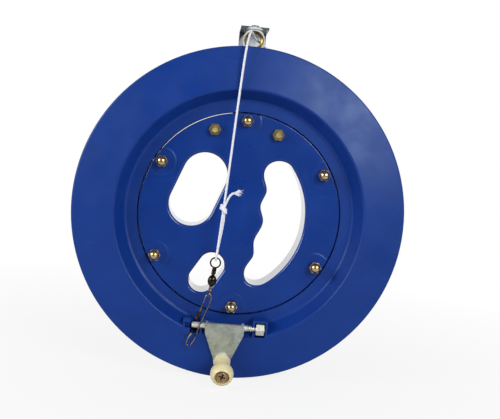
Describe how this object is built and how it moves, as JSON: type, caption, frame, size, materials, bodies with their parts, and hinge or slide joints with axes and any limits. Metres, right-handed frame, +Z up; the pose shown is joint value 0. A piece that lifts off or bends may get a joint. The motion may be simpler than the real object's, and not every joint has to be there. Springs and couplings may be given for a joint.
{
  "type": "kite line winder",
  "caption": "Hand-held kite line winder: a spool wheel with a folding crank turns on ball bearings round a grip disc with finger openings; a bracket ring leads the line in.",
  "frame": {"origin": "on the wheel's axis, midway between the two wheel halves", "axes": "+Y along the wheel's axis from the crank's side (front, -Y) to the back, +Z up through the line guide, +X to the right seen from the front"},
  "size_m": [0.2176, 0.0719, 0.2328],
  "materials": {
    "blue_plastic": "glossy moulded, royal blue",
    "zinc_plate": "zinc plated, dull",
    "yellow_zinc": "bright, yellow passivated",
    "bearing_steel": "ground and polished",
    "bush_brass": "polished",
    "cream_plastic": "satin moulded, cream",
    "bronze_wire": "dark, worn bright",
    "line": "braided, off-white"
  },
  "bodies": {
    "grip": {"front_grip_plate": "blue_plastic", "rear_grip_plate": "blue_plastic", "bearing_bolts": "yellow_zinc", "dome_nuts": "yellow_zinc", "bearing_hubs": "bearing_steel", "bearing_balls": "bearing_steel", "guide_bracket": "zinc_plate", "guide_ring": "zinc_plate", "guide_bush": "bush_brass", "guide_bolts": "zinc_plate", "guide_nuts": "zinc_plate", "kite_line": "line"},
    "wheel": {"front_wheel_half": "blue_plastic", "rear_wheel_half": "blue_plastic", "wheel_screws": "zinc_plate", "hinge_rod": "zinc_plate", "hinge_nut": "zinc_plate", "snap_wire": "bronze_wire", "snap_clasp": "bronze_wire", "swivel_lower_eye": "bronze_wire", "swivel_barrel": "bronze_wire", "line_winding": "line"},
    "crank": {"crank_bracket": "zinc_plate", "knob_bush": "zinc_plate", "knob_screw": "yellow_zinc"},
    "knob": {"crank_knob": "cream_plastic"},
    "swivel": {"swivel_upper_eye": "bronze_wire"},
    "roller_1": {"bearing_ring_1": "bearing_steel"},
    "roller_2": {"bearing_ring_2": "bearing_steel"},
    "roller_3": {"bearing_ring_3": "bearing_steel"},
    "roller_4": {"bearing_ring_4": "bearing_steel"},
    "roller_5": {"bearing_ring_5": "bearing_steel"},
    "roller_6": {"bearing_ring_6": "bearing_steel"}
  },
  "joints": [
    {"name": "wheel_spin", "type": "hinge", "parent": "grip", "child": "wheel", "pos_m": [0, 0, 0], "axis": [0, 1, 0], "continuous": true, "deforming": ["kite_line"]},
    {"name": "crank_fold", "type": "hinge", "parent": "wheel", "child": "crank", "pos_m": [0, -0.0195, -0.0737], "axis": [-1, 0, 0], "range_deg": [0, 105]},
    {"name": "knob_spin", "type": "hinge", "parent": "crank", "child": "knob", "pos_m": [-0.0034, -0.01527, -0.09345], "axis": [0, -0.9778, -0.2095], "continuous": true},
    {"name": "swivel_spin", "type": "hinge", "parent": "wheel", "child": "swivel", "pos_m": [-0.0143, -0.024, -0.043], "axis": [0.1028, 0, 0.9947], "continuous": true},
    {"name": "roller_spin_1", "type": "hinge", "parent": "grip", "child": "roller_1", "pos_m": [0.053, 0, 0.0306], "axis": [0, 1, 0], "continuous": true},
    {"name": "roller_spin_2", "type": "hinge", "parent": "grip", "child": "roller_2", "pos_m": [0, 0, 0.0612], "axis": [0, 1, 0], "continuous": true},
    {"name": "roller_spin_3", "type": "hinge", "parent": "grip", "child": "roller_3", "pos_m": [-0.053, 0, 0.0306], "axis": [0, 1, 0], "continuous": true},
    {"name": "roller_spin_4", "type": "hinge", "parent": "grip", "child": "roller_4", "pos_m": [-0.053, 0, -0.0306], "axis": [0, 1, 0], "continuous": true},
    {"name": "roller_spin_5", "type": "hinge", "parent": "grip", "child": "roller_5", "pos_m": [0, 0, -0.0612], "axis": [0, 1, 0], "continuous": true},
    {"name": "roller_spin_6", "type": "hinge", "parent": "grip", "child": "roller_6", "pos_m": [0.053, 0, -0.0306], "axis": [0, 1, 0], "continuous": true}
  ],
  "couplings": [
    {"joint": "roller_spin_1", "follows": "wheel_spin", "ratio": 8.6562},
    {"joint": "roller_spin_2", "follows": "wheel_spin", "ratio": 8.6562},
    {"joint": "roller_spin_3", "follows": "wheel_spin", "ratio": 8.6562},
    {"joint": "roller_spin_4", "follows": "wheel_spin", "ratio": 8.6562},
    {"joint": "roller_spin_5", "follows": "wheel_spin", "ratio": 8.6562},
    {"joint": "roller_spin_6", "follows": "wheel_spin", "ratio": 8.6562}
  ]
}
